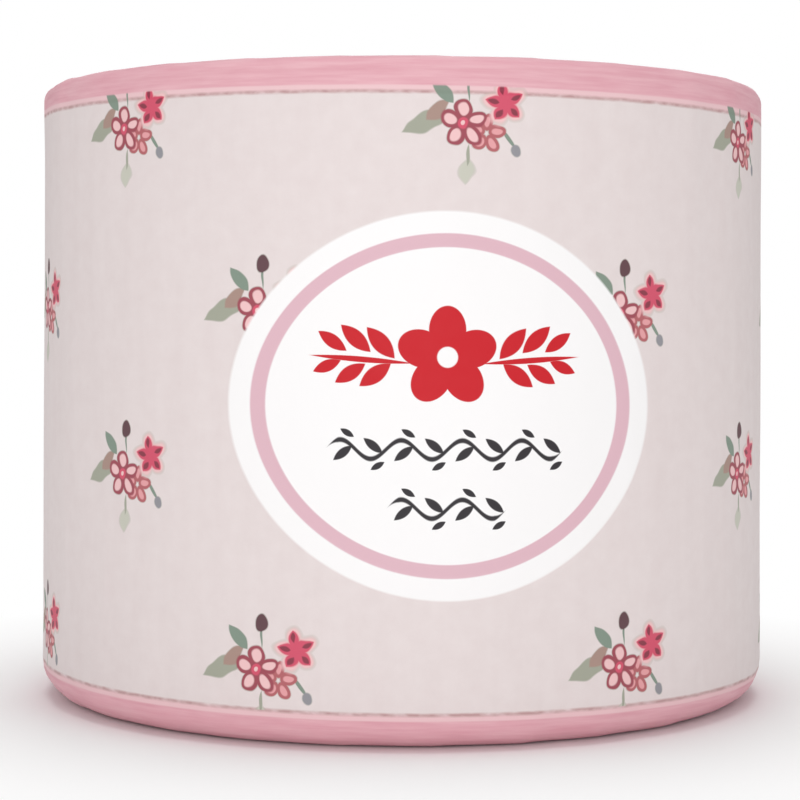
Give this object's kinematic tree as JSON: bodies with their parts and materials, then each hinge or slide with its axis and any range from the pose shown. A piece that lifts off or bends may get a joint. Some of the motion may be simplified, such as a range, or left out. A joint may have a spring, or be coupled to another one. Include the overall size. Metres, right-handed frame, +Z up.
{
  "type": "wrapped toilet paper roll",
  "caption": "Toilet roll wound on a cardboard core, in a printed paper wrapper that is lapped at the back, pleated over both ends and tucked into the bore.",
  "frame": {"origin": "middle of the base ring that the roll stands on", "axes": "+Z up along the roll's axis, -Y out of the printed front, the wrapper's lap at +Y"},
  "size_m": [0.12, 0.1202, 0.1005],
  "materials": {
    "printed_paper": "matt, printed",
    "tissue": "soft, creped",
    "core_board": "matt, uncoated"
  },
  "bodies": {
    "root": {"wrapper": "printed_paper", "tissue_roll": "tissue", "core_tube": "core_board"}
  },
  "joints": []
}
